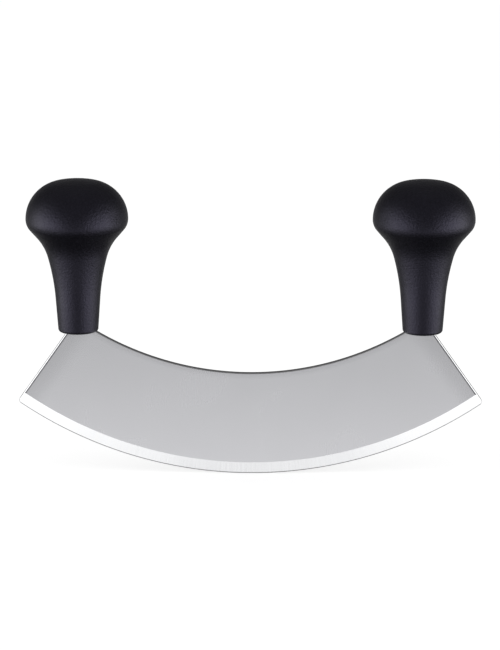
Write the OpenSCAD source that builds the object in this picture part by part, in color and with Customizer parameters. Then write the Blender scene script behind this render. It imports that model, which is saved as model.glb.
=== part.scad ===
// Single-blade mezzaluna: a crescent chopping blade with an upright knob handle moulded on each end.
// X runs from tip to tip, Y through the blade's thickness and Z up. The origin is the lowest point of the cutting edge.

/* [Blade] */
// Length of the blade between its lower corners, before they are rounded
blade_len = 230; // [210:1:250]
// Radius of the cutting edge
edge_r = 199.2; // [185:0.1:215]
// Depth of the blade from the cutting edge to the spine
blade_depth = 51.4; // [48:0.1:54]
// Thickness of the ground blade
blade_t = 2.4; // [1.8:0.1:3]
// Height of the ground bevel
bevel_h = 5.8; // [3:0.1:9]
// Thickness left at the very edge after honing
edge_land = 0.12; // [0.05:0.01:0.4]
// Chamfer along both edges of the spine
spine_ease = 0.4; // [0.1:0.05:0.6]
// Width of the polished facet along each end of the blade
end_ease_w = 1.2; // [0.6:0.1:2]
// Depth of the polished facet along each end of the blade
end_ease_d = 0.5; // [0.2:0.05:0.8]
// Radius of the rounded lower corners
tip_round = 2; // [1:0.1:4]

/* [Tang] */
// Thickness of the tang, left as rolled
tang_t = 2.6; // [2:0.1:3.2]
// Width of the tang
tang_w = 10; // [7:0.1:11]
// Length of the tang above the blade's shoulders
tang_l = 50; // [44:0.5:58]
// Radius in the corners between the tang and the shoulders
tang_root_r = 0.5; // [0.2:0.1:0.6]
// Diameter of the holes that the handle's plastic fills
lock_hole_d = 5; // [3:0.1:6]
// Height of the first hole above the shoulders
lock_hole_h = 12; // [8:0.5:14]
// Distance from one hole to the next
lock_hole_pitch = 14; // [9:0.5:15]
// Number of holes in each tang
lock_holes = 3; // [1:1:3]

/* [Handles] */
// Height of a handle from its collar to the top of its knob
handle_h = 75.5; // [72:0.1:80]
// Largest diameter of the knob
knob_d = 50; // [48:0.1:53]
// Radius of the shallow crown on top of the knob
crown_r = 49.5; // [40:0.5:70]
// Radius of the knob's round shoulder
knob_shoulder_r = 18.8; // [16:0.1:20]
// Radius under the knob's widest point
knob_rim_r = 7.7; // [5:0.1:9]
// Slope of the knob's underside from the vertical, in degrees
underside_angle = 41; // [38:0.5:43]
// Radius of the flare where the underside runs into the neck
flare_r = 24.7; // [22:0.1:27]
// Slope at which the flare passes into the neck's long curve, in degrees
flare_end_angle = 15.4; // [14:0.1:17]
// Radius of the neck's long curve
neck_r = 107; // [90:1:120]
// Slope of the neck above the collar, in degrees
neck_angle = 4.1; // [3:0.1:5]
// Diameter of the collar that sits on the blade
collar_d = 19.5; // [18:0.1:21]
// Radius of the collar's lower edge
collar_round = 1.6; // [0.5:0.1:2]
// Distance of each handle's axis outwards from the middle of the blade's shoulders
handle_outset = 1.9; // [1:0.1:2.4]
// Depth of the shoulders below the blade's upper corners
shoulder_drop = 6.6; // [5:0.1:8]
// Room between the tang and the plastic moulded round it
tang_fit = 0.05; // [0.02:0.01:0.1]

/* [Hidden] */
$fn = 96;
// Turn between the points of a round stretch, in degrees
arc_step = 3;
margin = 1;
tip_crossing = 0.02;

spine_r = edge_r - blade_depth;
half_angle = asin(blade_len / 2 / edge_r);
shoulder_z = edge_r - spine_r * cos(half_angle) - shoulder_drop;

// Where the spine and the blade's end meet the plane of the shoulders
shoulder_below_centre = edge_r - shoulder_z;
shoulder_inner_x = sqrt(pow(spine_r, 2) - pow(shoulder_below_centre, 2));
shoulder_outer_x = shoulder_below_centre * tan(half_angle);
handle_x = (shoulder_inner_x + shoulder_outer_x) / 2 + handle_outset;

// Points along an arc without its first one, where the outline already is
function arc(centre, r, from, to) = [
    for (i = [1 : ceil(abs(to - from) / arc_step)])
        let (angle = from + (to - from) * i / ceil(abs(to - from) / arc_step))
        centre + r * [cos(angle), sin(angle)]
];
// Centre of a hollow arc that starts at a point with the given slope from the vertical
function hollow_centre(start, r, slope) = start + r * [cos(slope), -sin(slope)];
// How far a hollow arc runs outwards and upwards between two slopes
function hollow_run(r, from, to) = r * [cos(from) - cos(to), sin(to) - sin(from)];

// The knob's rim, shoulder and crown run into each other without a break
knob_r = knob_d / 2;
shoulder_to_crown = crown_r - knob_shoulder_r;
crown_centre = [0, handle_h - crown_r];
shoulder_x = knob_r - knob_shoulder_r;
widest_h = crown_centre.y + sqrt(pow(shoulder_to_crown, 2) - pow(shoulder_x, 2));
shoulder_centre = [shoulder_x, widest_h];
crown_edge_angle = acos(shoulder_x / shoulder_to_crown);
rim_centre = [knob_r - knob_rim_r, widest_h];
rim_start = rim_centre + knob_rim_r * [cos(underside_angle), -sin(underside_angle)];

// The straight parts of the neck and of the underside take up what the two hollow arcs leave
hollows = hollow_run(neck_r, neck_angle, flare_end_angle) + hollow_run(flare_r, flare_end_angle, underside_angle);
left_over = rim_start - [collar_d / 2, 0] - hollows;
neck_straight = (left_over.y * sin(underside_angle) - left_over.x * cos(underside_angle))
    / sin(underside_angle - neck_angle);
neck_end = [collar_d / 2, 0] + neck_straight * [sin(neck_angle), cos(neck_angle)];
flare_start = neck_end + hollow_run(neck_r, neck_angle, flare_end_angle);

// The collar's rounded edge runs into the neck's slope
collar_round_h = collar_round * (1 - sin(neck_angle));
collar_round_x = collar_d / 2 + collar_round_h * tan(neck_angle) - collar_round * cos(neck_angle);

// Half of the handle's profile, from the collar up
handle_profile = concat(
    [[0, 0], [collar_round_x, 0]],
    arc([collar_round_x, collar_round], collar_round, -90, -neck_angle),
    [neck_end],
    arc(hollow_centre(neck_end, neck_r, neck_angle), neck_r, 180 - neck_angle, 180 - flare_end_angle),
    arc(
        hollow_centre(flare_start, flare_r, flare_end_angle),
        flare_r,
        180 - flare_end_angle,
        180 - underside_angle
    ),
    [rim_start],
    arc(rim_centre, knob_rim_r, -underside_angle, 0),
    arc(shoulder_centre, knob_shoulder_r, 0, crown_edge_angle),
    arc(crown_centre, crown_r, crown_edge_angle, 90)
);

module mirrored_in_x() {
    children();
    mirror([1, 0, 0]) children();
}

// Cross-section of the blade, with its radius along X
module blade_section() {
    half_t = blade_t / 2;
    polygon([
        [spine_r, -half_t + spine_ease],
        [spine_r + spine_ease, -half_t],
        [edge_r - bevel_h, -half_t],
        [edge_r, -edge_land / 2],
        [edge_r, edge_land / 2],
        [edge_r - bevel_h, half_t],
        [spine_r + spine_ease, half_t],
        [spine_r, half_t - spine_ease]
    ]);
}

module crescent() {
    translate([0, 0, edge_r])
    rotate([90, 0, 0])
    rotate([0, 0, -90 - half_angle])
    rotate_extrude(angle = 2 * half_angle)
    blade_section();
}

// Places its children at the blade's right end, with X along the end's outward normal and Z away from the centre
module at_right_end() {
    translate([0, 0, edge_r])
    rotate([0, -half_angle, 0])
    rotate([180, 0, 0])
    children();
}

// What rounding the lower corner takes away: the circle crosses both edges, so that it never only touches them
module tip_corner() {
    inset = tip_round - tip_crossing;
    height = sqrt(pow(edge_r - inset, 2) - pow(inset, 2));
    rotate([90, 0, 0])
    linear_extrude(2 * blade_t, center = true)
    translate([-inset, height])
    difference() {
        square(tip_round + margin);
        circle(tip_round);
    }
}

// What grinding the facets along the end takes away
module end_facets() {
    slope = end_ease_d / end_ease_w;
    for (side = [-1, 1])
        translate([0, side * blade_t / 2, spine_r - margin])
        linear_extrude(blade_depth + 2 * margin)
        polygon([
            [-end_ease_w - margin, side * slope * margin],
            [margin, -side * slope * (end_ease_w + margin)],
            [margin, side * slope * margin]
        ]);
}

// Outline of the tang above the shoulders: room widens it and narrows its holes
module tang_outline(room = 0) {
    width = tang_w + 2 * room;
    round_h = tang_l - tang_w / 2;
    root = tang_root_r;
    difference() {
        union() {
            translate([-width / 2, 0]) square([width, round_h]);
            translate([0, round_h]) circle(width / 2);
            difference() {
                translate([-width / 2 - root, 0]) square([width + 2 * root, root]);
                for (side = [-1, 1])
                    translate([side * (width / 2 + root), root]) circle(root);
            }
        }
        for (i = [0 : lock_holes - 1])
            translate([0, lock_hole_h + i * lock_hole_pitch]) circle(lock_hole_d / 2 - room);
    }
}

module tang(room = 0) {
    translate([handle_x, 0, shoulder_z])
    rotate([90, 0, 0])
    linear_extrude(tang_t + 2 * room, center = true)
    tang_outline(room);
}

module blade() {
    color([0.75, 0.75, 0.77]) {
        difference() {
            crescent();
            mirrored_in_x() at_right_end() {
                tip_corner();
                end_facets();
            }
            translate([-blade_len / 2, -blade_t, shoulder_z]) cube([blade_len, 2 * blade_t, 2 * shoulder_drop]);
        }
        mirrored_in_x() tang();
    }
}

module moulded_handle() {
    color([0.11, 0.11, 0.13])
    difference() {
        translate([handle_x, 0, shoulder_z]) rotate_extrude() polygon(handle_profile);
        tang(tang_fit);
    }
}

module right_handle() {
    moulded_handle();
}

module left_handle() {
    mirror([1, 0, 0]) moulded_handle();
}

blade();
left_handle();
right_handle();
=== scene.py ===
import math

import bmesh
import bpy
from bpy.props import FloatProperty, FloatVectorProperty, IntProperty, PointerProperty
from mathutils import Matrix, Vector


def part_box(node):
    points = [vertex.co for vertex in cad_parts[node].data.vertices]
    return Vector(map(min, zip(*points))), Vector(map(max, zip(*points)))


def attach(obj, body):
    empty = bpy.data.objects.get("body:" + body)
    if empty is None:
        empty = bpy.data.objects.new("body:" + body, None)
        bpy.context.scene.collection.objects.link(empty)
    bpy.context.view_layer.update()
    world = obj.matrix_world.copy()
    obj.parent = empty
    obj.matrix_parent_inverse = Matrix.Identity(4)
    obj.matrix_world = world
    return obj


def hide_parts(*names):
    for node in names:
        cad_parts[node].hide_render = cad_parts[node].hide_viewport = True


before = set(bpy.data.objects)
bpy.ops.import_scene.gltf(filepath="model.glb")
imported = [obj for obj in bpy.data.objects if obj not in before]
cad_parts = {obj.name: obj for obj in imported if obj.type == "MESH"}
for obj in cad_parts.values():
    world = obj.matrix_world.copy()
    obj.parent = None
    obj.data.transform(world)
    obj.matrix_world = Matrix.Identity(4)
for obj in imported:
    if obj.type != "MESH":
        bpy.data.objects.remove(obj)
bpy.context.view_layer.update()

bl_info = {
    "name": "Mezzaluna",
    "version": (1, 0, 0),
    "blender": (4, 5, 0),
    "location": "3D View > Sidebar > Mezzaluna",
    "description": "Builds a single-blade mezzaluna with two knob handles, and a pale studio round it",
    "category": "Object",
}

BODY = "root"
MM = 0.001
CUT_TOLERANCE = 1e-8
MERGE_DISTANCE = 1e-7

# The handle's place and outer sizes come from the frame
HANDLE_LOW, HANDLE_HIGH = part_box("right_handle")
HANDLE_X = (HANDLE_LOW.x + HANDLE_HIGH.x) / 2
SEAT_Z = HANDLE_LOW.z


class BladeSizes(bpy.types.PropertyGroup):
    length: FloatProperty(
        name="Length", description="Tip to tip, before the corners are rounded",
        default=230 * MM, subtype="DISTANCE", unit="LENGTH", precision=4,
    )
    edge_radius: FloatProperty(
        name="Edge radius", description="Radius of the cutting edge",
        default=199.2 * MM, subtype="DISTANCE", unit="LENGTH", precision=4,
    )
    depth: FloatProperty(
        name="Depth", description="From the cutting edge to the spine",
        default=51.4 * MM, subtype="DISTANCE", unit="LENGTH", precision=4,
    )
    thickness: FloatProperty(
        name="Thickness", description="Thickness of the ground blade",
        default=2.4 * MM, subtype="DISTANCE", unit="LENGTH", precision=4,
    )
    bevel_height: FloatProperty(
        name="Bevel height", description="Height of the ground bevel",
        default=5.8 * MM, subtype="DISTANCE", unit="LENGTH", precision=4,
    )
    honing_height: FloatProperty(
        name="Honing height", description="Height of the small second bevel at the very edge",
        default=0.42 * MM, subtype="DISTANCE", unit="LENGTH", precision=5,
    )
    land: FloatProperty(
        name="Edge land", description="Thickness left at the very edge",
        default=0.06 * MM, subtype="DISTANCE", unit="LENGTH", precision=5,
    )
    spine_ease: FloatProperty(
        name="Spine rounding", description="Radius along both edges of the spine",
        default=0.65 * MM, subtype="DISTANCE", unit="LENGTH", precision=5,
    )
    facet_width: FloatProperty(
        name="End facet width", description="Width of the polished facet along each end",
        default=0.8 * MM, subtype="DISTANCE", unit="LENGTH", precision=5,
    )
    facet_depth: FloatProperty(
        name="End facet depth", description="Depth of the polished facet along each end",
        default=0.33 * MM, subtype="DISTANCE", unit="LENGTH", precision=5,
    )
    facet_inner_radius: FloatProperty(
        name="Facet inner rounding", description="Radius where the facet runs into the blade's face",
        default=2 * MM, subtype="DISTANCE", unit="LENGTH", precision=5,
    )
    facet_outer_radius: FloatProperty(
        name="Facet outer rounding", description="Radius where the facet runs into the blade's end",
        default=0.3 * MM, subtype="DISTANCE", unit="LENGTH", precision=5,
    )
    tip_radius: FloatProperty(
        name="Corner radius", description="Radius of the rounded lower corners",
        default=2 * MM, subtype="DISTANCE", unit="LENGTH", precision=4,
    )
    steps: IntProperty(
        name="Steps", description="Steps along the crescent", default=240, min=24,
    )


class HandleSizes(bpy.types.PropertyGroup):
    height: FloatProperty(
        name="Height", description="From the collar to the top of the knob",
        default=HANDLE_HIGH.z - HANDLE_LOW.z, subtype="DISTANCE", unit="LENGTH", precision=4,
    )
    knob_diameter: FloatProperty(
        name="Knob diameter", description="Largest diameter of the knob",
        default=HANDLE_HIGH.y - HANDLE_LOW.y, subtype="DISTANCE", unit="LENGTH", precision=4,
    )
    collar_diameter: FloatProperty(
        name="Collar diameter", description="Diameter of the collar on the blade",
        default=19.5 * MM, subtype="DISTANCE", unit="LENGTH", precision=4,
    )
    crown_radius: FloatProperty(
        name="Crown radius", description="Radius of the shallow crown",
        default=49.5 * MM, subtype="DISTANCE", unit="LENGTH", precision=4,
    )
    shoulder_radius: FloatProperty(
        name="Shoulder radius", description="Radius of the knob's shoulder",
        default=18.8 * MM, subtype="DISTANCE", unit="LENGTH", precision=4,
    )
    rim_radius: FloatProperty(
        name="Rim radius", description="Radius under the knob's widest point",
        default=7.7 * MM, subtype="DISTANCE", unit="LENGTH", precision=4,
    )
    flare_radius: FloatProperty(
        name="Flare radius", description="Radius where the underside runs into the neck",
        default=24.7 * MM, subtype="DISTANCE", unit="LENGTH", precision=4,
    )
    neck_radius: FloatProperty(
        name="Neck radius", description="Radius of the neck's long curve",
        default=107 * MM, subtype="DISTANCE", unit="LENGTH", precision=4,
    )
    underside_angle: FloatProperty(
        name="Underside slope", description="Slope of the underside from the vertical",
        default=math.radians(41), subtype="ANGLE", unit="ROTATION",
    )
    flare_end_angle: FloatProperty(
        name="Flare end slope", description="Slope where the flare passes into the neck",
        default=math.radians(15.4), subtype="ANGLE", unit="ROTATION",
    )
    neck_angle: FloatProperty(
        name="Neck slope", description="Slope of the neck above the collar",
        default=math.radians(4.1), subtype="ANGLE", unit="ROTATION",
    )
    collar_round: FloatProperty(
        name="Collar rounding", description="Radius of the collar's lower edge",
        default=1.6 * MM, subtype="DISTANCE", unit="LENGTH", precision=5,
    )
    turns: IntProperty(
        name="Steps round", description="Steps round the handle's axis", default=128, min=24,
    )


class Finishes(bpy.types.PropertyGroup):
    satin: FloatVectorProperty(
        name="Satin steel", description="Colour of the blade's face", subtype="COLOR",
        size=4, min=0, max=1, default=(0.845, 0.845, 0.875, 1),
    )
    ground: FloatVectorProperty(
        name="Ground steel", description="Colour of the bevel and the end facets", subtype="COLOR",
        size=4, min=0, max=1, default=(0.98, 0.985, 1.0, 1),
    )
    # Painted shade: a dark steel on the facets' rounded inner borders, drawing a dark line where facet meets
    # face
    painted_dark_border: FloatVectorProperty(
        name="Border steel", description="Colour of the facets' rounded inner borders", subtype="COLOR",
        size=4, min=0, max=1, default=(0.2, 0.2, 0.21, 1),
    )
    # The spine, ends and honed edge have their own rougher grind; their darker colour is painted shade that
    # draws them as dark lines
    spine: FloatVectorProperty(
        name="Spine steel", description="Colour of the spine, the ends and the honed edge", subtype="COLOR",
        size=4, min=0, max=1, default=(0.42, 0.42, 0.43, 1),
    )
    plastic: FloatVectorProperty(
        name="Black plastic", description="Colour of the handles", subtype="COLOR",
        size=4, min=0, max=1, default=(0.008, 0.0077, 0.0107, 1),
    )


class StudioSizes(bpy.types.PropertyGroup):
    distance: FloatProperty(
        name="Camera distance", description="From the camera to what it looks at",
        default=1.332, subtype="DISTANCE", unit="LENGTH",
    )
    elevation: FloatProperty(
        name="Camera elevation", description="Height of the camera above the horizon",
        default=math.radians(12.5), subtype="ANGLE", unit="ROTATION",
    )
    azimuth: FloatProperty(
        name="Camera azimuth", description="Turn of the camera towards +X",
        default=math.radians(0.89), subtype="ANGLE", unit="ROTATION",
    )
    target_sideways: FloatProperty(
        name="Target sideways", description="How far to the right of the object's middle the camera looks",
        default=-0.17 * MM, subtype="DISTANCE", unit="LENGTH", precision=5,
    )
    target_height: FloatProperty(
        name="Target height", description="Height of what the camera looks at",
        default=75.27 * MM, subtype="DISTANCE", unit="LENGTH", precision=5,
    )
    focal_pixels: FloatProperty(
        name="Focal length in pixels", description="Focal length in pixels of a picture 650 pixels high",
        default=2715,
    )


class SceneSizes(bpy.types.PropertyGroup):
    blade: PointerProperty(type=BladeSizes)
    handle: PointerProperty(type=HandleSizes)
    finish: PointerProperty(type=Finishes)
    studio: PointerProperty(type=StudioSizes)


def new_object(name, bm):
    """A mesh object made from bm, which is freed."""
    mesh = bpy.data.meshes.new(name)
    bm.to_mesh(mesh)
    bm.free()
    piece = bpy.data.objects.new(name, mesh)
    bpy.context.scene.collection.objects.link(piece)
    return piece


def smooth_by_angle(piece, angle):
    """Shades the piece smooth, apart from edges sharper than angle."""
    piece.data.shade_smooth()
    piece.data.set_sharp_from_angle(angle=angle)


def node(tree, kind, inputs=None, **settings):
    """A shader node with its settings and input values."""
    made = tree.nodes.new(kind)
    for key, value in settings.items():
        setattr(made, key, value)
    for key, value in (inputs or {}).items():
        if isinstance(value, bpy.types.NodeSocket):
            tree.links.new(value, made.inputs[key])
        else:
            made.inputs[key].default_value = value
    return made


def math_node(tree, operation, a, b=None, c=None):
    """The output of a Math node on values or sockets."""
    given = {i: v for i, v in enumerate((a, b, c)) if v is not None}
    return node(tree, "ShaderNodeMath", given, operation=operation).outputs[0]


def new_group(name, inputs, outputs):
    """An empty node group with float, vector or colour sockets."""
    group = bpy.data.node_groups.new(name, "ShaderNodeTree")
    for label, kind, value in inputs:
        socket = group.interface.new_socket(label, in_out="INPUT", socket_type=kind)
        if value is not None:
            socket.default_value = value
    for label, kind in outputs:
        group.interface.new_socket(label, in_out="OUTPUT", socket_type=kind)
    start = group.nodes.new("NodeGroupInput")
    end = group.nodes.new("NodeGroupOutput")
    return group, start, end


def crescent_coordinates(edge_radius):
    """Node group: a point's distance along the cutting edge and its distance from the crescent's centre."""
    group, start, end = new_group(
        "Crescent coordinates",
        [("Position", "NodeSocketVector", None)],
        [("Along", "NodeSocketFloat"), ("Radius", "NodeSocketFloat")],
    )
    split = node(group, "ShaderNodeSeparateXYZ", {0: start.outputs["Position"]})
    below = math_node(group, "SUBTRACT", edge_radius, split.outputs["Z"])
    turn = math_node(group, "ARCTAN2", split.outputs["X"], below)
    along = math_node(group, "MULTIPLY", turn, edge_radius)
    squares = math_node(
        group, "ADD",
        math_node(group, "MULTIPLY", split.outputs["X"], split.outputs["X"]),
        math_node(group, "MULTIPLY", below, below),
    )
    group.links.new(along, end.inputs["Along"])
    group.links.new(math_node(group, "SQRT", squares), end.inputs["Radius"])
    return group


def grinding_lines():
    """Node group: fine parallel scratches, close together in Across and long in Along."""
    group, start, end = new_group(
        "Grinding lines",
        [
            ("Across", "NodeSocketFloat", 0.0),
            ("Along", "NodeSocketFloat", 0.0),
            ("Lines per metre", "NodeSocketFloat", 3000.0),
            ("Length", "NodeSocketFloat", 10 * MM),
        ],
        [("Lines", "NodeSocketFloat")],
    )
    across = math_node(group, "MULTIPLY", start.outputs["Across"], start.outputs["Lines per metre"])
    along = math_node(group, "DIVIDE", start.outputs["Along"], start.outputs["Length"])
    place = node(group, "ShaderNodeCombineXYZ", {"X": across, "Y": along})
    fine = node(
        group, "ShaderNodeTexNoise",
        {"Vector": place.outputs[0], "Scale": 1.0, "Detail": 4.0, "Roughness": 0.65},
    )
    group.links.new(fine.outputs["Fac"], end.inputs["Lines"])
    return group


def painted_blade_shade(sizes):
    """Node group: painted shade and painted reflection, as factors for the steel's colour. The face gets
    painted darker upwards and beside spine and ends, the bevel painted lighter towards the ends, and a thin
    painted dark line runs round the ends and lower corners."""
    group, start, end = new_group(
        "Painted blade shade",
        [("Along", "NodeSocketFloat", 0.0), ("Radius", "NodeSocketFloat", 0.0)],
        [("Face", "NodeSocketFloat"), ("Bevel", "NodeSocketFloat"), ("Rim", "NodeSocketFloat")],
    )
    spine_radius = sizes.edge_radius - sizes.depth
    end_angle = math.asin(sizes.length / 2 / sizes.edge_radius)

    # Painted shade on the face: lightest at the cutting edge, darker by this much per metre of height
    painted_lightness_at_edge = 1.066
    painted_darkening_per_metre = 2.2

    def ramp(value, near, far, low):
        """A factor that runs smoothly from low to 1 between two distances."""
        return node(
            group, "ShaderNodeMapRange",
            {"Value": value, "From Min": near, "From Max": far, "To Min": low, "To Max": 1.0},
            interpolation_type="SMOOTHSTEP",
        ).outputs[0]

    away = math_node(group, "ABSOLUTE", start.outputs["Along"])
    angle = math_node(group, "DIVIDE", away, sizes.edge_radius)
    left = math_node(group, "SUBTRACT", end_angle, angle)
    from_end = math_node(group, "MULTIPLY", left, start.outputs["Radius"])
    from_spine = math_node(group, "SUBTRACT", start.outputs["Radius"], spine_radius)
    cosine = math_node(group, "COSINE", angle)
    below_centre = math_node(group, "MULTIPLY", start.outputs["Radius"], cosine)
    height = math_node(group, "SUBTRACT", sizes.edge_radius, below_centre)
    face_painted_shade = math_node(group, "MULTIPLY_ADD", height, -painted_darkening_per_metre, painted_lightness_at_edge)
    # Painted shade in a band beside the spine and beside each end
    painted_shade_beside_spine = ramp(from_spine, near=0, far=4 * MM, low=0.88)
    painted_shade_beside_end = ramp(from_end, near=2 * MM, far=13 * MM, low=0.865)
    for factor in (painted_shade_beside_spine, painted_shade_beside_end):
        face_painted_shade = math_node(group, "MULTIPLY", face_painted_shade, factor)
    group.links.new(face_painted_shade, end.inputs["Face"])
    # Painted shade: a dark band within about 0.2 mm of the outline of the ends and lower corners
    from_edge = math_node(group, "SUBTRACT", sizes.edge_radius, start.outputs["Radius"])
    inwards = []
    for distance in (from_end, from_edge):
        short = math_node(group, "SUBTRACT", sizes.tip_radius, distance)
        inwards.append(math_node(group, "MAXIMUM", short, 0.0))
    squares = math_node(
        group, "ADD",
        math_node(group, "MULTIPLY", inwards[0], inwards[0]),
        math_node(group, "MULTIPLY", inwards[1], inwards[1]),
    )
    from_rim = math_node(group, "SUBTRACT", sizes.tip_radius, math_node(group, "SQRT", squares))
    painted_outline_shade = ramp(from_rim, near=0.1 * MM, far=0.22 * MM, low=0.15)
    # Painted reflection: the bevel darker in the middle and lighter towards the ends
    painted_light_towards_ends = ramp(away, near=12 * MM, far=76 * MM, low=0.9)
    bevel = math_node(group, "MULTIPLY", painted_light_towards_ends, painted_outline_shade)
    group.links.new(bevel, end.inputs["Bevel"])
    group.links.new(painted_outline_shade, end.inputs["Rim"])
    return group


def moulded_grain():
    """Node group: the fine matte grain of a spark-eroded mould, as a height."""
    group, start, end = new_group(
        "Moulded grain",
        [
            ("Position", "NodeSocketVector", None),
            ("Grain size", "NodeSocketFloat", 1 * MM),
        ],
        [("Height", "NodeSocketFloat"), ("Pits", "NodeSocketFloat")],
    )
    scale = math_node(group, "DIVIDE", 1.0, start.outputs["Grain size"])
    grain = node(
        group, "ShaderNodeTexNoise",
        {"Vector": start.outputs["Position"], "Scale": scale, "Detail": 3.0, "Roughness": 0.6},
    )
    pit_scale = math_node(group, "MULTIPLY", scale, 0.7)
    cells = node(
        group, "ShaderNodeTexVoronoi",
        {"Vector": start.outputs["Position"], "Scale": pit_scale},
        feature="SMOOTH_F1",
    )
    group.links.new(grain.outputs["Fac"], end.inputs["Height"])
    group.links.new(cells.outputs["Distance"], end.inputs["Pits"])
    return group


def handling_marks():
    """Node group: broad soft patches where a surface was wiped and held."""
    group, start, end = new_group(
        "Handling marks",
        [
            ("Position", "NodeSocketVector", None),
            ("Patch size", "NodeSocketFloat", 30 * MM),
        ],
        [("Patches", "NodeSocketFloat")],
    )
    scale = math_node(group, "DIVIDE", 1.0, start.outputs["Patch size"])
    patches = node(
        group, "ShaderNodeTexNoise",
        {"Vector": start.outputs["Position"], "Scale": scale, "Detail": 2.0, "Roughness": 0.45,
         "Distortion": 0.4},
    )
    group.links.new(patches.outputs["Fac"], end.inputs["Patches"])
    return group


def spread(tree, value, low, high):
    """Maps a noise value, mostly between 0.3 and 0.7, to the range from low to high."""
    return node(
        tree, "ShaderNodeMapRange",
        {"Value": value, "From Min": 0.3, "From Max": 0.7, "To Min": low, "To Max": high},
    ).outputs[0]


def new_material(name):
    """A material with an empty tree, its Principled shader and its object coordinates."""
    material = bpy.data.materials.new(name)
    material.use_nodes = True
    tree = material.node_tree
    tree.nodes.clear()
    shader = node(tree, "ShaderNodeBsdfPrincipled")
    output = node(tree, "ShaderNodeOutputMaterial")
    tree.links.new(shader.outputs[0], output.inputs["Surface"])
    place = node(tree, "ShaderNodeTexCoord").outputs["Object"]
    return material, tree, shader, place


def scaled(tree, colour, factor):
    """A colour multiplied by a factor."""
    return node(tree, "ShaderNodeVectorMath", {0: colour, "Scale": factor}, operation="SCALE").outputs[0]


def tinted(tree, colour, value, share):
    """A colour made lighter and darker by a share of itself as value changes."""
    return scaled(tree, colour[:3], spread(tree, value, 1 - share, 1 + share))


def steel(
    name, groups, colour, lines_per_metre, line_length, roughness, depth, contrast,
    line_roughness=0.03, painted_shading=None,
):
    """Steel with fine grinding lines, upright on the face and towards the crescent's centre elsewhere."""
    material, tree, shader, place = new_material(name)
    arc = node(tree, "ShaderNodeGroup", {"Position": place}, node_tree=groups["crescent"])
    split = node(tree, "ShaderNodeSeparateXYZ", {0: place})
    upright = painted_shading == "Face"
    across = split.outputs["X"] if upright else arc.outputs["Along"]
    along = split.outputs["Z"] if upright else arc.outputs["Radius"]
    lines = node(
        tree, "ShaderNodeGroup",
        {"Across": across, "Along": along, "Lines per metre": lines_per_metre, "Length": line_length},
        node_tree=groups["lines"],
    )
    marks = node(tree, "ShaderNodeGroup", {"Position": place}, node_tree=groups["marks"])
    tint = tinted(tree, colour, lines.outputs["Lines"], contrast)
    # Painted shade and painted reflection scale the colour: Face on the satin, Bevel on the ground, Rim on
    # the spine and facets
    if painted_shading:
        painted_shades = node(
            tree, "ShaderNodeGroup",
            {"Along": arc.outputs["Along"], "Radius": arc.outputs["Radius"]},
            node_tree=groups["painted_shading"],
        )
        tint = scaled(tree, tint, painted_shades.outputs[painted_shading])
    tree.links.new(tint, shader.inputs["Base Color"])
    shader.inputs["Metallic"].default_value = 1.0
    worn = spread(tree, marks.outputs["Patches"], *roughness)
    scratched = spread(tree, lines.outputs["Lines"], -line_roughness, line_roughness)
    tree.links.new(math_node(tree, "ADD", worn, scratched), shader.inputs["Roughness"])
    bump = node(
        tree, "ShaderNodeBump",
        {"Strength": 0.35, "Distance": depth, "Height": lines.outputs["Lines"]},
    )
    tree.links.new(bump.outputs[0], shader.inputs["Normal"])
    return material


def plastic(name, groups, colour):
    """Matte black plastic with a fine moulded grain."""
    material, tree, shader, place = new_material(name)
    shader.inputs["Specular IOR Level"].default_value = 0.245
    shader.inputs["Specular Tint"].default_value = (0.753, 0.715, 1.0, 1)
    grain_inputs = {"Position": place, "Grain size": 0.9 * MM}
    grain = node(tree, "ShaderNodeGroup", grain_inputs, node_tree=groups["grain"])
    marks = node(tree, "ShaderNodeGroup", {"Position": place}, node_tree=groups["marks"])
    tint = tinted(tree, colour, grain.outputs["Height"], share=0.25)
    tree.links.new(tint, shader.inputs["Base Color"])
    worn = spread(tree, marks.outputs["Patches"], low=0.31, high=0.36)
    fine = spread(tree, grain.outputs["Height"], low=-0.04, high=0.04)
    tree.links.new(math_node(tree, "ADD", worn, fine), shader.inputs["Roughness"])
    pit_share = 0.35
    height = math_node(tree, "MULTIPLY_ADD", grain.outputs["Pits"], pit_share, grain.outputs["Height"])
    bump = node(tree, "ShaderNodeBump", {"Strength": 1.0, "Distance": 0.18 * MM, "Height": height})
    tree.links.new(bump.outputs[0], shader.inputs["Normal"])
    return material


BLADE_FINISHES = ("satin", "ground", "honed", "spine", "facet", "painted_dark_border")
FINISH_NAMES = BLADE_FINISHES + ("black_plastic",)


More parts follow.
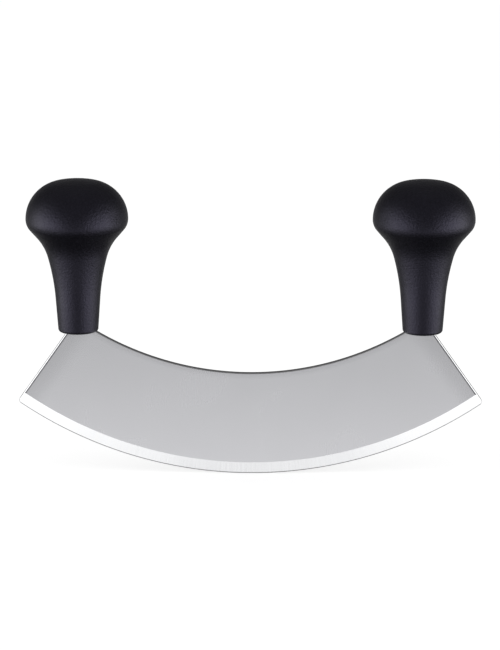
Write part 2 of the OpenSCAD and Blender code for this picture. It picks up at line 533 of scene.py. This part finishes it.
def finishes():
    """The object's materials, made once and kept under their names."""
    made = bpy.data.materials
    if "black_plastic" in made:
        return {name: made[name] for name in FINISH_NAMES}
    sizes = bpy.context.scene.mezzaluna
    colour = sizes.finish
    groups = {
        "crescent": crescent_coordinates(sizes.blade.edge_radius),
        "lines": grinding_lines(),
        "painted_shading": painted_blade_shade(sizes.blade),
        "grain": moulded_grain(),
        "marks": handling_marks(),
    }
    return {
        "satin": steel(
            "satin", groups, colour.satin, lines_per_metre=5000, line_length=0.02,
            roughness=(0.25, 0.28), depth=0.0003 * MM, contrast=0.004, line_roughness=0.005, painted_shading="Face",
        ),
        "ground": steel(
            "ground", groups, colour.ground, lines_per_metre=2200, line_length=0.012,
            roughness=(0.16, 0.24), depth=0.01 * MM, contrast=0.05, painted_shading="Bevel",
        ),
        "honed": steel(
            "honed", groups, colour.spine, lines_per_metre=4000, line_length=0.001,
            roughness=(0.25, 0.35), depth=0.005 * MM, contrast=0.05,
        ),
        # Rougher grind; the darker colour and the Rim factor are painted shade
        "spine": steel(
            "spine", groups, colour.spine, lines_per_metre=3000, line_length=0.004,
            roughness=(0.28, 0.36), depth=0.01 * MM, contrast=0.06, painted_shading="Rim",
        ),
        "facet": steel(
            "facet", groups, colour.ground, lines_per_metre=3000, line_length=0.01,
            roughness=(0.12, 0.18), depth=0.004 * MM, contrast=0.03, painted_shading="Rim",
        ),
        # Steel darkened as painted shade, for the facets' rounded inner borders
        "painted_dark_border": steel(
            "painted_dark_border", groups, colour.painted_dark_border, lines_per_metre=3000, line_length=0.01,
            roughness=(0.22, 0.28), depth=0.004 * MM, contrast=0.03,
        ),
        "black_plastic": plastic("black_plastic", groups, colour.plastic),
    }


def cut_off(bm, point, normal):
    """Cuts away what lies beyond a plane and closes the cut."""
    cut = bmesh.ops.bisect_plane(
        bm, geom=bm.verts[:] + bm.edges[:] + bm.faces[:], dist=CUT_TOLERANCE,
        plane_co=point, plane_no=normal, clear_outer=True,
    )
    edges = [item for item in cut["geom_cut"] if isinstance(item, bmesh.types.BMEdge)]
    open_edges = [edge for edge in edges if len(edge.link_faces) == 1]
    if open_edges:
        bmesh.ops.holes_fill(bm, edges=open_edges, sides=0)


def blade_section(bm, sizes):
    """The blade's cross-section as a face, standing under the crescent's centre."""
    half = sizes.thickness / 2
    ease = sizes.spine_ease
    spine_z = sizes.depth
    # The honed bevel is steeper, so its top is thicker than the ground bevel alone would make it
    honing_thickening = 1.6
    ground_half = (half - sizes.land / 2) * sizes.honing_height / sizes.bevel_height
    honing_half = sizes.land / 2 + ground_half * honing_thickening
    round_steps = 6
    turns = [math.pi / 2 * i / round_steps for i in range(round_steps + 1)]
    side = [(half - ease + ease * math.sin(turn), spine_z - ease + ease * math.cos(turn)) for turn in turns]
    side += [
        (half, sizes.bevel_height),
        (honing_half, sizes.honing_height),
        (sizes.land / 2, 0),
    ]
    outline = [(-y, z) for y, z in side] + [(y, z) for y, z in reversed(side)]
    return bm.faces.new([bm.verts.new((0, y, z)) for y, z in outline])


class MEZZALUNA_OT_blade(bpy.types.Operator):
    """Builds the crescent blade with its bevel, honed edge, end facets and rounded corners"""
    bl_idname = "mezzaluna.blade"
    bl_label = "Build the blade"

    def execute(self, context):
        sizes = context.scene.mezzaluna.blade
        centre = Vector((0, 0, sizes.edge_radius))
        half_angle = math.asin(sizes.length / 2 / sizes.edge_radius)
        bm = bmesh.new()
        blade_section(bm, sizes)
        to_left_end = Matrix.Rotation(half_angle, 3, "Y")
        bmesh.ops.rotate(bm, verts=bm.verts[:], cent=centre, matrix=to_left_end)
        bmesh.ops.spin(
            bm, geom=bm.verts[:] + bm.edges[:] + bm.faces[:], cent=centre, axis=(0, -1, 0),
            angle=2 * half_angle, steps=sizes.steps, use_merge=False, use_duplicate=False,
        )
        bmesh.ops.remove_doubles(bm, verts=bm.verts[:], dist=MERGE_DISTANCE)
        bmesh.ops.recalc_face_normals(bm, faces=bm.faces[:])
        for side in (-1, 1):
            self.round_corner(bm, sizes, centre, half_angle, side)
            self.grind_facets(bm, sizes, centre, half_angle, side)
        cut_off(bm, Vector((0, 0, SEAT_Z)), Vector((0, 0, 1)))
        bmesh.ops.recalc_face_normals(bm, faces=bm.faces[:])
        self.sort_finishes(bm, sizes, centre, half_angle)
        piece = new_object("crescent_blade", bm)
        materials = finishes()
        for name in BLADE_FINISHES:
            piece.data.materials.append(materials[name])
        smooth_by_angle(piece, angle=math.radians(5))
        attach(piece, BODY)
        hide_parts("blade")
        return {"FINISHED"}

    def round_corner(self, bm, sizes, centre, half_angle, side):
        """Takes the lower corner off with planes that touch its rounding."""
        planes = 24
        reach = sizes.edge_radius - sizes.tip_radius
        inset = math.asin(sizes.tip_radius / reach)
        turn = half_angle - inset
        middle = centre + reach * Vector((side * math.sin(turn), 0, -math.cos(turn)))
        end_turn = half_angle + math.pi / 2
        for i in range(1, planes + 1):
            angle = turn + (end_turn - turn) * (i - 0.5) / planes
            normal = Vector((side * math.sin(angle), 0, -math.cos(angle)))
            cut_off(bm, middle + sizes.tip_radius * normal, normal)

    def grind_facets(self, bm, sizes, centre, half_angle, side):
        """Grinds the polished facets along one end, front and back, and rounds both borders of each."""
        outward = Vector((side * math.cos(half_angle), 0, math.sin(half_angle)))
        end = centre + sizes.edge_radius * Vector((side * math.sin(half_angle), 0, -math.cos(half_angle)))
        slope = math.atan2(sizes.facet_depth, sizes.facet_width)
        for face in (-1, 1):
            inner = end - outward * sizes.facet_width
            inner.y = face * sizes.thickness / 2
            outer = end.copy()
            outer.y = face * (sizes.thickness / 2 - sizes.facet_depth)

            def facing(angle):
                """The direction between the blade's face, at 0, and straight out of its end."""
                return Vector((0, face, 0)) * math.cos(angle) + outward * math.sin(angle)

            cut_off(bm, inner, facing(slope))
            for corner, first, last, radius, planes in (
                (inner, 0, slope, sizes.facet_inner_radius, 4),
                (outer, slope, math.pi / 2, sizes.facet_outer_radius, 8),
            ):
                middle = corner - facing((first + last) / 2) * radius / math.cos((last - first) / 2)
                for i in range(1, planes + 1):
                    angle = first + (last - first) * i / (planes + 1)
                    cut_off(bm, middle + radius * facing(angle), facing(angle))

    def sort_finishes(self, bm, sizes, centre, half_angle):
        """Gives each face the finish of the grinding that made it, told by its slope, direction and place."""
        face_flatness = 0.999
        facet_flatness = math.cos(math.atan2(sizes.facet_depth, sizes.facet_width))
        facet_margin = 0.005
        bevel_flatness = 0.5
        end_likeness = 0.9
        bevel_radius = sizes.edge_radius - sizes.bevel_height
        honing_radius = sizes.edge_radius - sizes.honing_height
        for face in bm.faces:
            middle = face.calc_center_median()
            radius = (Vector((middle.x, 0, middle.z)) - centre).length
            flatness = abs(face.normal.y)
            sideways = Vector((face.normal.x, 0, face.normal.z))
            towards_end = Vector((math.copysign(math.cos(half_angle), middle.x), 0, math.sin(half_angle)))
            leans_to_end = sideways.normalized().dot(towards_end) > end_likeness
            if flatness > face_flatness:
                finish = "satin"
            elif radius > honing_radius:
                finish = "honed"
            elif leans_to_end and flatness > facet_flatness + facet_margin:
                finish = "painted_dark_border"
            elif leans_to_end and flatness > facet_flatness - facet_margin:
                finish = "facet"
            elif radius > bevel_radius and flatness > bevel_flatness:
                finish = "ground"
            else:
                finish = "spine"
            face.material_index = BLADE_FINISHES.index(finish)


class MEZZALUNA_OT_handles(bpy.types.Operator):
    """Builds the two knob handles by turning one profile about each handle's axis"""
    bl_idname = "mezzaluna.handles"
    bl_label = "Build the handles"

    def execute(self, context):
        sizes = context.scene.mezzaluna.handle
        for name, side in (("left_handle", -1), ("right_handle", 1)):
            bm = bmesh.new()
            self.draw_profile(bm, sizes)
            bmesh.ops.spin(
                bm, geom=bm.verts[:] + bm.edges[:], cent=(0, 0, 0), axis=(0, 0, 1),
                angle=2 * math.pi, steps=sizes.turns, use_merge=True, use_duplicate=False,
            )
            bmesh.ops.remove_doubles(bm, verts=bm.verts[:], dist=MERGE_DISTANCE)
            bmesh.ops.translate(bm, verts=bm.verts[:], vec=(side * HANDLE_X, 0, SEAT_Z))
            bmesh.ops.recalc_face_normals(bm, faces=bm.faces[:])
            piece = new_object(name + "_moulding", bm)
            piece.data.materials.append(finishes()["black_plastic"])
            smooth_by_angle(piece, angle=math.radians(30))
            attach(piece, BODY)
            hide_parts(name)
        return {"FINISHED"}

    def draw_profile(self, bm, sizes):
        """Draws half of the handle's profile from the collar's middle to the top of the crown."""
        knob_radius = sizes.knob_diameter / 2
        collar_radius = sizes.collar_diameter / 2
        neck, flare, under = sizes.neck_angle, sizes.flare_end_angle, sizes.underside_angle
        crown_less = sizes.crown_radius - sizes.shoulder_radius
        shoulder_x = knob_radius - sizes.shoulder_radius
        crown_z = sizes.height - sizes.crown_radius
        widest_z = crown_z + math.sqrt(crown_less**2 - shoulder_x**2)
        rim_x = knob_radius - sizes.rim_radius
        rim_start = Vector((
            rim_x + sizes.rim_radius * math.cos(under), 0, widest_z - sizes.rim_radius * math.sin(under),
        ))

        def hollow_run(radius, start, end):
            """How far a hollow arc runs outwards and upwards between two slopes."""
            out = radius * (math.cos(start) - math.cos(end))
            up = radius * (math.sin(end) - math.sin(start))
            return Vector((out, 0, up))

        neck_run = hollow_run(sizes.neck_radius, neck, flare)
        flare_run = hollow_run(sizes.flare_radius, flare, under)
        left = rim_start - Vector((collar_radius, 0, 0)) - neck_run - flare_run
        straight = (left.z * math.sin(under) - left.x * math.cos(under)) / math.sin(under - neck)
        neck_end = Vector((collar_radius + straight * math.sin(neck), 0, straight * math.cos(neck)))
        flare_start = neck_end + neck_run
        round_z = sizes.collar_round * (1 - math.sin(neck))
        round_x = collar_radius + round_z * math.tan(neck) - sizes.collar_round * math.cos(neck)

        def line_to(vert, place):
            """A straight stretch from vert to a place."""
            grown = bmesh.ops.extrude_vert_indiv(bm, verts=[vert])["verts"][0]
            grown.co = place
            return grown

        def arc_about(vert, centre, angle, steps):
            """A round stretch from vert about centre; a positive angle climbs the outside of a bulge."""
            turned = bmesh.ops.spin(
                bm, geom=[vert], cent=centre, axis=(0, -1, 0), angle=angle, steps=steps,
                use_merge=False, use_duplicate=False,
            )
            return [item for item in turned["geom_last"] if isinstance(item, bmesh.types.BMVert)][0]

        quarter = math.pi / 2
        tip = bm.verts.new((0, 0, 0))
        tip = line_to(tip, (round_x, 0, 0))
        tip = arc_about(tip, (round_x, 0, sizes.collar_round), quarter - neck, steps=8)
        tip = line_to(tip, neck_end)
        hollow = neck_end + sizes.neck_radius * Vector((math.cos(neck), 0, -math.sin(neck)))
        tip = arc_about(tip, hollow, neck - flare, steps=16)
        hollow = flare_start + sizes.flare_radius * Vector((math.cos(flare), 0, -math.sin(flare)))
        tip = arc_about(tip, hollow, flare - under, steps=20)
        tip = line_to(tip, rim_start)
        tip = arc_about(tip, (rim_x, 0, widest_z), under, steps=20)
        crown_start = math.acos(shoulder_x / crown_less)
        tip = arc_about(tip, (shoulder_x, 0, widest_z), crown_start, steps=40)
        arc_about(tip, (0, 0, crown_z), quarter - crown_start, steps=10)


# What gloss mirrors, as round soft lights: azimuth from the front and elevation in degrees, tightness,
# and strength, where 1 is white. Each of the side lights stands on both sides.
SIDE_LIGHTS = {
    "wall, front part": (50, -8, 14, 3.0),
    "wall, rear part": (86, -8, 14, 4.0),
    "wall, upper part": (75, 14, 14, 0.8),
    "low": (50, -30, 14, 1.0),
    "low in front": (20, -32, 30, 0.45),
    "behind": (150, -15, 10, 0.2),
}
MIDDLE_LIGHTS = {
    "floor in front": (0, -31, 24, 0.75),
    "front": (0, -14, 30, 0.15),
    "front, above the camera": (0, 8, 14, 0.1),
    "front, high": (0, 35, 8, 0.25),
    "ceiling": (0, 90, 3, 0.2),
    "behind": (180, -20, 10, 0.25),
}
# What gloss mirrors where no light stands
UNLIT = 0.005


def ray_mask(tree, ray_names):
    """1 for the kinds of ray named, from a Light Path node, and 0 for the others."""
    path = node(tree, "ShaderNodeLightPath")
    total = path.outputs[ray_names[0]]
    for name in ray_names[1:]:
        total = math_node(tree, "MAXIMUM", total, path.outputs[name])
    return total


def soft_light(tree, direction, azimuth, elevation, tightness, strength):
    """The strength of one round soft light in the direction of a ray."""
    turn, rise = math.radians(azimuth), math.radians(elevation)
    middle = (math.sin(turn) * math.cos(rise), -math.cos(turn) * math.cos(rise), math.sin(rise))
    likeness = node(tree, "ShaderNodeVectorMath", {0: direction, 1: middle}, operation="DOT_PRODUCT")
    beside = math_node(tree, "SUBTRACT", likeness.outputs["Value"], 1.0)
    fall = math_node(tree, "MULTIPLY", beside, tightness)
    return math_node(tree, "MULTIPLY", math_node(tree, "EXPONENT", fall), strength)


class MEZZALUNA_OT_stage(bpy.types.Operator):
    """Lays the pale floor and sets the soft lights, the backdrop and the camera"""
    bl_idname = "mezzaluna.stage"
    bl_label = "Set the stage"

    def execute(self, context):
        scene = context.scene
        sizes = scene.mezzaluna.studio
        self.lay_floor()
        self.hang_backdrop(scene)
        for side in (-1, 1):
            self.place_softbox(scene, side)
        self.place_camera(scene, sizes)
        scene.view_settings.view_transform = "Standard"
        return {"FINISHED"}

    def lay_floor(self):
        """A pale floor, which the camera sees as white wherever no shadow lies on it."""
        bm = bmesh.new()
        bmesh.ops.create_grid(bm, x_segments=8, y_segments=8, size=4.0)
        floor = new_object("studio_floor", bm)
        material = bpy.data.materials.new("pale_floor")
        material.use_nodes = True
        tree = material.node_tree
        tree.nodes.clear()
        floor_colour = (0.5, 0.5, 0.5, 1)
        diffuse = node(tree, "ShaderNodeBsdfDiffuse", {"Color": floor_colour})
        glow = node(tree, "ShaderNodeEmission", {"Color": (1, 1, 1, 1), "Strength": 0.64})
        both = node(tree, "ShaderNodeAddShader", {0: diffuse.outputs[0], 1: glow.outputs[0]})
        seen = ray_mask(tree, ("Is Camera Ray",))
        mix = node(tree, "ShaderNodeMixShader", {0: seen, 1: diffuse.outputs[0], 2: both.outputs[0]})
        output = node(tree, "ShaderNodeOutputMaterial")
        tree.links.new(mix.outputs[0], output.inputs["Surface"])
        floor.data.materials.append(material)
        floor.visible_glossy = False

    def hang_backdrop(self, scene):
        """White for the camera, plain light for matt surfaces, and soft lights for gloss to mirror."""
        world = bpy.data.worlds.new("pale_backdrop")
        scene.world = world
        world.use_nodes = True
        tree = world.node_tree
        tree.nodes.clear()
        direction = node(tree, "ShaderNodeTexCoord").outputs["Generated"]
        glow = UNLIT
        for light in MIDDLE_LIGHTS.values():
            glow = math_node(tree, "ADD", soft_light(tree, direction, *light), glow)
        for azimuth, *rest in SIDE_LIGHTS.values():
            glow = math_node(tree, "ADD", soft_light(tree, direction, azimuth, *rest), glow)
            glow = math_node(tree, "ADD", soft_light(tree, direction, -azimuth, *rest), glow)
        lighting = node(tree, "ShaderNodeBackground", {"Color": (1, 1, 1, 1), "Strength": 0.75})
        mirrored = node(tree, "ShaderNodeBackground", {"Color": (1, 1, 1, 1), "Strength": glow})
        white = node(tree, "ShaderNodeBackground", {"Color": (1, 1, 1, 1), "Strength": 1.0})
        glossy = ray_mask(tree, ("Is Glossy Ray", "Is Transmission Ray"))
        mix = node(tree, "ShaderNodeMixShader", {0: glossy, 1: lighting.outputs[0], 2: mirrored.outputs[0]})
        camera = ray_mask(tree, ("Is Camera Ray",))
        mix = node(tree, "ShaderNodeMixShader", {0: camera, 1: mix.outputs[0], 2: white.outputs[0]})
        output = node(tree, "ShaderNodeOutputWorld")
        tree.links.new(mix.outputs[0], output.inputs["Surface"])

    def place_softbox(self, scene, side):
        """A wide soft light on one side, which neither the camera nor gloss sees."""
        light = bpy.data.lights.new("softbox_right" if side > 0 else "softbox_left", "AREA")
        light.shape = "RECTANGLE"
        light.size = 0.45
        light.size_y = 0.7
        radiance = 2.0
        light.energy = radiance * math.pi * light.size * light.size_y
        lamp = bpy.data.objects.new(light.name, light)
        scene.collection.objects.link(lamp)
        place = Vector((side, -0.18, 0.35))
        middle_of_object = Vector((0, 0, 0.08))
        aim = middle_of_object - place
        turn = aim.to_track_quat("-Z", "Y").to_matrix().to_4x4()
        lamp.matrix_world = Matrix.Translation(place) @ turn
        lamp.visible_glossy = False
        lamp.visible_camera = False

    def place_camera(self, scene, sizes):
        """The photo's camera, in front of the object and a little above it."""
        camera = bpy.data.cameras.new("photo_camera")
        picture_height = 650
        camera.sensor_width = 36
        camera.lens = sizes.focal_pixels * camera.sensor_width / picture_height
        camera.clip_start = 0.05
        camera.clip_end = 50
        holder = bpy.data.objects.new("photo_camera", camera)
        scene.collection.objects.link(holder)
        back = Vector((
            math.sin(sizes.azimuth) * math.cos(sizes.elevation),
            -math.cos(sizes.azimuth) * math.cos(sizes.elevation),
            math.sin(sizes.elevation),
        ))
        target = Vector((sizes.target_sideways, 0, sizes.target_height))
        turn = back.to_track_quat("Z", "Y").to_matrix().to_4x4()
        holder.matrix_world = Matrix.Translation(target + sizes.distance * back) @ turn
        scene.camera = holder


class MEZZALUNA_PT_build(bpy.types.Panel):
    """Lists the steps and the sizes"""
    bl_idname = "MEZZALUNA_PT_build"
    bl_label = "Mezzaluna"
    bl_space_type = "VIEW_3D"
    bl_region_type = "UI"
    bl_category = "Mezzaluna"

    def draw(self, context):
        layout = self.layout
        sizes = context.scene.mezzaluna
        for operator in OPERATORS:
            layout.operator(operator.bl_idname)
        parts = (
            ("Blade", sizes.blade),
            ("Handles", sizes.handle),
            ("Finishes", sizes.finish),
            ("Studio", sizes.studio),
        )
        for label, group in parts:
            box = layout.box()
            box.label(text=label)
            for key in group.__annotations__:
                box.prop(group, key)


GROUPS = (BladeSizes, HandleSizes, Finishes, StudioSizes, SceneSizes)
OPERATORS = (MEZZALUNA_OT_blade, MEZZALUNA_OT_handles, MEZZALUNA_OT_stage)
CLASSES = GROUPS + OPERATORS + (MEZZALUNA_PT_build,)


def register():
    for cls in CLASSES:
        bpy.utils.register_class(cls)
    bpy.types.Scene.mezzaluna = PointerProperty(type=SceneSizes)


def unregister():
    del bpy.types.Scene.mezzaluna
    for cls in reversed(CLASSES):
        bpy.utils.unregister_class(cls)


def main():
    register()
    bpy.ops.mezzaluna.blade()
    bpy.ops.mezzaluna.handles()
    bpy.ops.mezzaluna.stage()


if __name__ == "__main__":
    main()
